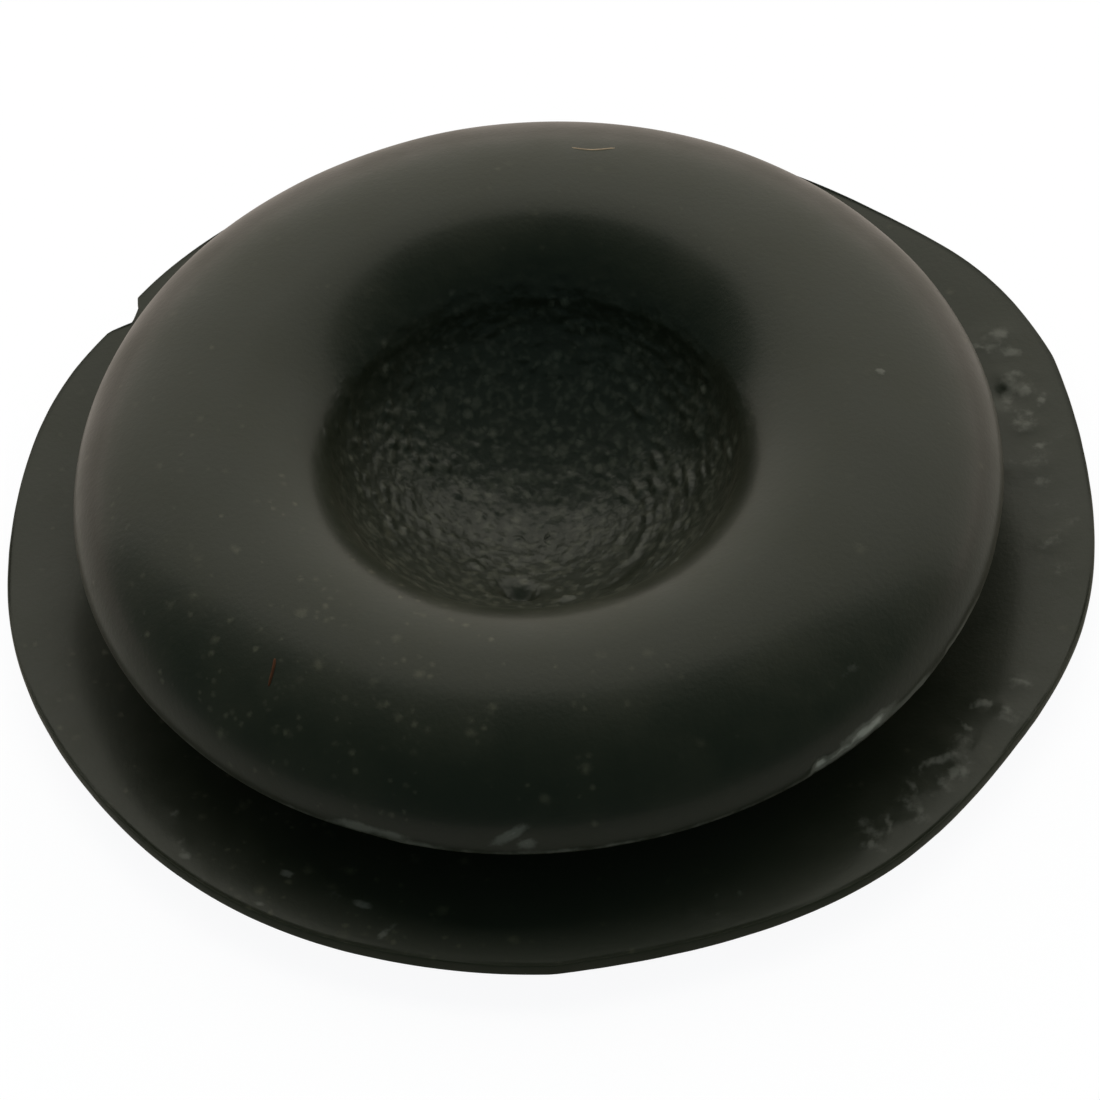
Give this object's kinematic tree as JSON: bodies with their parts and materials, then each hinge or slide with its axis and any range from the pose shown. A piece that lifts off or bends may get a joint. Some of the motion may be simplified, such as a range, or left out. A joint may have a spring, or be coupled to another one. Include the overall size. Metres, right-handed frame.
{
  "type": "rubber body plug",
  "caption": "Round moulded rubber plug with a rolled, recessed head, a panel groove and a thin hand-trimmed flange, pressed into a hole in sheet metal to close it.",
  "frame": {"origin": "middle of the flat underside of the flange, on the plug's axis", "axes": "+Z along the plug's axis, from the flange to the head; +X and +Y across the flange, with the picture's camera on the -Y side"},
  "size_m": [0.02, 0.0198, 0.0041],
  "materials": {
    "black_rubber": "satin black moulded rubber, dusty, with scuffs on its edges"
  },
  "bodies": {
    "root": {"body_plug": "black_rubber"}
  },
  "joints": []
}
